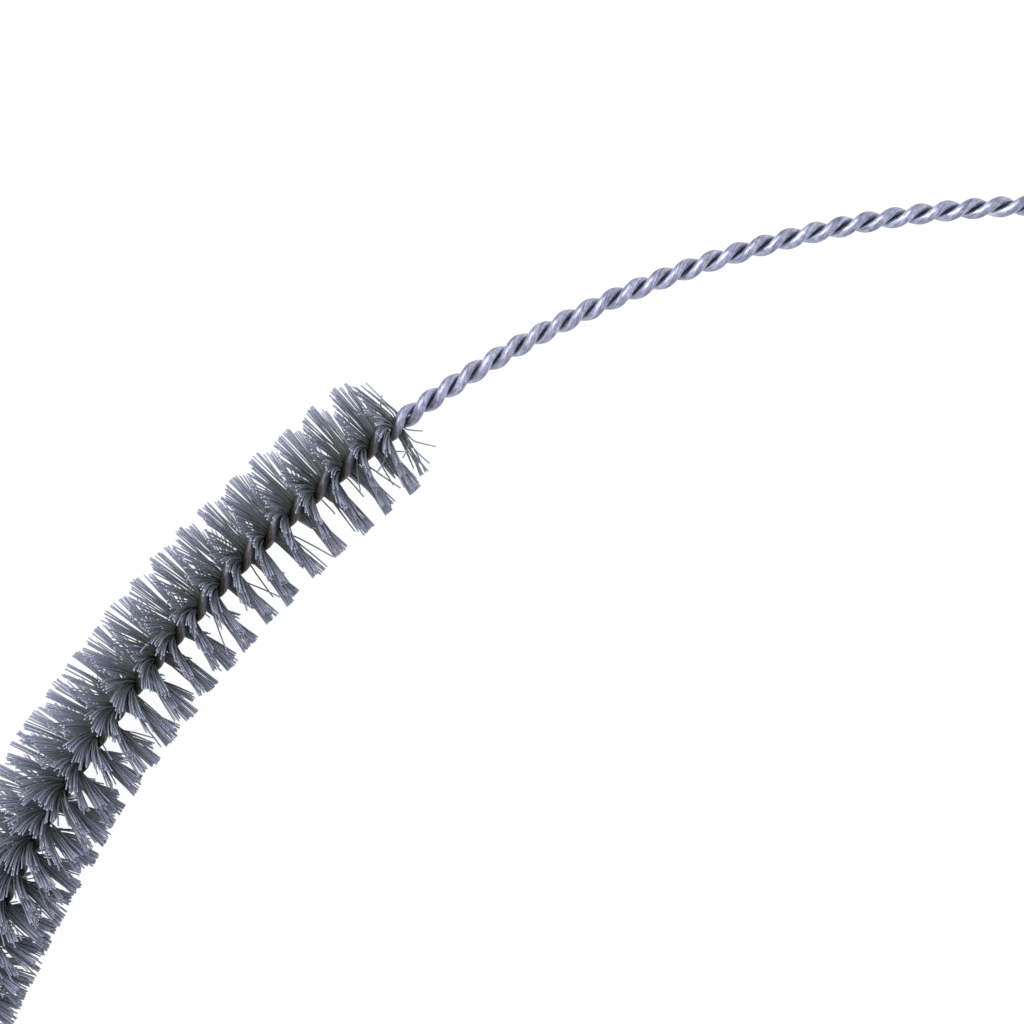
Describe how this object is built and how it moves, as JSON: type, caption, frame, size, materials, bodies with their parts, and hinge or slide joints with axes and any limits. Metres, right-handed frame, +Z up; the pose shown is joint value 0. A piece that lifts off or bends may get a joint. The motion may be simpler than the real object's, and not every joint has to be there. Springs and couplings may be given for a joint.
{
  "type": "radiator brush",
  "caption": "Long flexible twisted-wire brush, bent in an arch, with a helical nylon bristle head, bare wire stem and turned wooden handle.",
  "frame": {"origin": "on the floor, under the middle of the whole brush's box", "axes": "the brush lies on its side; +Z is up, +X runs from the bristle head's side to the handle's side, +Y from the open side of the arch to its crown"},
  "size_m": [0.5556, 0.266, 0.0305],
  "materials": {
    "galvanised_steel": "satin zinc-coated wire",
    "grey_nylon": "satin filament",
    "beech": "satin lacquer",
    "ferrule_steel": "bright plated"
  },
  "bodies": {
    "root": {"wire_strand_a": "galvanised_steel", "wire_strand_b": "galvanised_steel", "bristle_turn_01": "grey_nylon", "bristle_turn_02": "grey_nylon", "bristle_turn_03": "grey_nylon", "bristle_turn_04": "grey_nylon", "bristle_turn_05": "grey_nylon", "bristle_turn_06": "grey_nylon", "bristle_turn_07": "grey_nylon", "bristle_turn_08": "grey_nylon", "bristle_turn_09": "grey_nylon", "bristle_turn_10": "grey_nylon", "bristle_turn_11": "grey_nylon", "bristle_turn_12": "grey_nylon", "bristle_turn_13": "grey_nylon", "bristle_turn_14": "grey_nylon", "bristle_turn_15": "grey_nylon", "bristle_turn_16": "grey_nylon", "bristle_turn_17": "grey_nylon", "handle": "beech", "ferrule": "ferrule_steel"}
  },
  "joints": []
}
